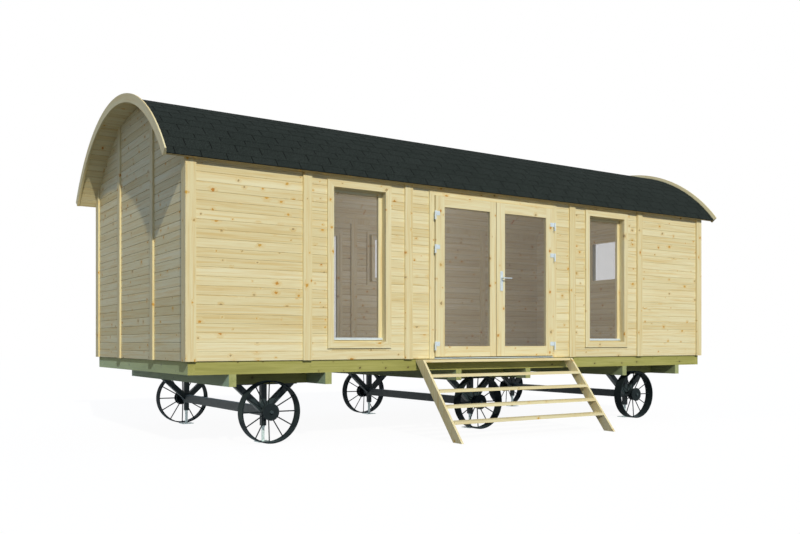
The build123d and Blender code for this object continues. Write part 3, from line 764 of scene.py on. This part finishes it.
# Finishes of the nodes that show as they are
finish = {
    "base_beam_front": treated_long,
    "base_beam_back": treated_long,
    "wheel_beams": treated_inner,
    "base_beam_left": treated_cross,
    "base_beam_right": treated_cross,
    "floor_joists": treated_cross,
    "cross_bearers": treated_bearer,
    "jack_legs": galvanised_steel,
    "step_treads": tread_spruce,
    "step_stringers": stringer_spruce,
    "verge_board_left": verge_spruce,
    "verge_board_right": verge_spruce,
}
wheel_starts = ("wheel_front", "wheel_back")
plated_starts = ("door_hinge", "handle", "lever", "door_threshold", "window_weather")
for name in nodes:
    if name.startswith(wheel_starts):
        finish[name] = wheel_steel
    elif name.startswith("axle_frame"):
        finish[name] = black_steel
    elif name.startswith(plated_starts):
        finish[name] = zinc_plate
    elif "glass" in name:
        finish[name] = pane_glass
    elif "battens" in name:
        finish[name] = upright_spruce

# Frames with grain along their rails and stiles, each by the axis of its wall
frame_axis = {
    "window_front_left": 0,
    "window_front_right": 0,
    "window_back_tall": 0,
    "window_back_small": 0,
    "window_right_gable": 1,
    "door_frame": 0,
}
for name, axis in frame_axis.items():
    finish[name] = planed_spruce(name + "_spruce", framed_grain(name, axis), frame_knots)
for side in ("left", "right"):
    glass = "door_glass_" + side
    leaf = "door_leaf_" + side
    leaf_rails = (low(glass)[0], high(glass)[0])
    finish[leaf] = planed_spruce(leaf + "_spruce", framed_grain(leaf, 0, leaf_rails), leaf_knots)
for name, material in finish.items():
    nodes[name].data.materials.clear()
    nodes[name].data.materials.append(material)

# Studio: white surround, low sun from the front left, a cool sky and soft light in the room
scene = bpy.context.scene
scene.view_settings.view_transform = "Standard"
sky_colour = (0.280, 0.354, 0.520)
sun_colour = (1.0, 0.945, 0.82)
sun_strength = 2.68
sun_height = 31.7
sun_turn = 12.0
sun_spread = 0.6
room_lamp_power = 44.0
room_lamp_colour = (0.58, 0.63, 1.0)
room_lamp_share = 0.22
room_lamp_rise = 0.3
room_lamp_size = 0.2
white_colour = (1.0, 1.0, 1.0)
floor_reach = 60.0
floor_drop = 0.001
floor_bounce = (0.150, 0.155, 0.160)
floor_pale = (0.95, 0.95, 0.95)
floor_glow = 1.02
floor_white_share = 0.93


def seen_directly(tree):
    """One where the camera, a reflection or a pane looks at it, and zero for light on the object."""
    path = tree.nodes.new("ShaderNodeLightPath")
    seen = maths(tree, "MAXIMUM", path.outputs["Is Camera Ray"], path.outputs["Is Glossy Ray"])
    return maths(tree, "MAXIMUM", seen, path.outputs["Is Transmission Ray"])


world = bpy.data.worlds.new("studio_surround")
world.use_nodes = True
scene.world = world
surround = world.node_tree
surround_colour = blend(surround, seen_directly(surround), sky_colour, white_colour)
feed(surround, surround.nodes["Background"].inputs["Color"], surround_colour)

floor_mesh = bpy.data.meshes.new("studio_floor")
floor_corners = np.array([(-1, -1), (1, -1), (1, 1), (-1, 1)]) * floor_reach
floor_points = np.column_stack([floor_corners, np.full(4, -floor_drop)])
floor_mesh.from_pydata(floor_points.tolist(), [], [(0, 1, 2, 3)])
floor_material, floor_tree, floor_shader = new_material("studio_floor")
floor_seen = seen_directly(floor_tree)
floor_colour = blend(floor_tree, floor_seen, floor_bounce, floor_pale)
feed(floor_tree, floor_shader.inputs["Base Color"], floor_colour)
floor_shader.inputs["Roughness"].default_value = 0.9
floor_shader.inputs["Specular IOR Level"].default_value = 0.0
white = floor_tree.nodes.new("ShaderNodeEmission")
white.inputs["Strength"].default_value = floor_glow
floor_mix = floor_tree.nodes.new("ShaderNodeMixShader")
feed(floor_tree, floor_mix.inputs[0], maths(floor_tree, "MULTIPLY", floor_seen, floor_white_share))
feed(floor_tree, floor_mix.inputs[1], floor_shader.outputs[0])
feed(floor_tree, floor_mix.inputs[2], white.outputs[0])
feed(floor_tree, floor_tree.nodes["Material Output"].inputs["Surface"], floor_mix.outputs[0])
floor_mesh.materials.append(floor_material)
floor = bpy.data.objects.new("studio_floor", floor_mesh)
scene.collection.objects.link(floor)

sun_data = bpy.data.lights.new("sun", "SUN")
sun_data.energy = sun_strength
sun_data.angle = np.radians(sun_spread)
sun_data.color = sun_colour
sun = bpy.data.objects.new("sun", sun_data)
sun.rotation_euler = (np.radians(90 - sun_height), 0, np.radians(-sun_turn))
scene.collection.objects.link(sun)

room_lamp_height = (wall_head + wall_foot) / 2 + room_lamp_rise
lamp_data = bpy.data.lights.new("room_light", "POINT")
lamp_data.energy = room_lamp_power
lamp_data.color = room_lamp_colour
lamp_data.shadow_soft_size = room_lamp_size
lamp = bpy.data.objects.new("room_light", lamp_data)
lamp.location = (room_lamp_share * right_room, mid_y, room_lamp_height)
lamp.visible_camera = False
lamp.visible_glossy = False
scene.collection.objects.link(lamp)

# Camera: level, with the photograph's eye point, lens and horizon
image_width = 800
image_middle = 267.0
horizon_row = 342.83
focal_pixels = 845.98
sensor_width = 36.0
camera_turn = -0.577889
view_reach = 200.0
fit_unit = 0.01103
eye_station = np.array([-594.65, -718.31, 16.54]) * fit_unit
eye_base = np.array([0.0, low("front_battens")[1], wall_foot])
camera_data = bpy.data.cameras.new("camera")
camera_data.sensor_width = sensor_width
camera_data.lens = focal_pixels / image_width * sensor_width
camera_data.shift_y = (horizon_row - image_middle) / image_width
camera_data.clip_end = view_reach
camera = bpy.data.objects.new("camera", camera_data)
camera.location = eye_base + eye_station
camera.rotation_euler = (np.pi / 2, 0, camera_turn)
scene.collection.objects.link(camera)
scene.camera = camera
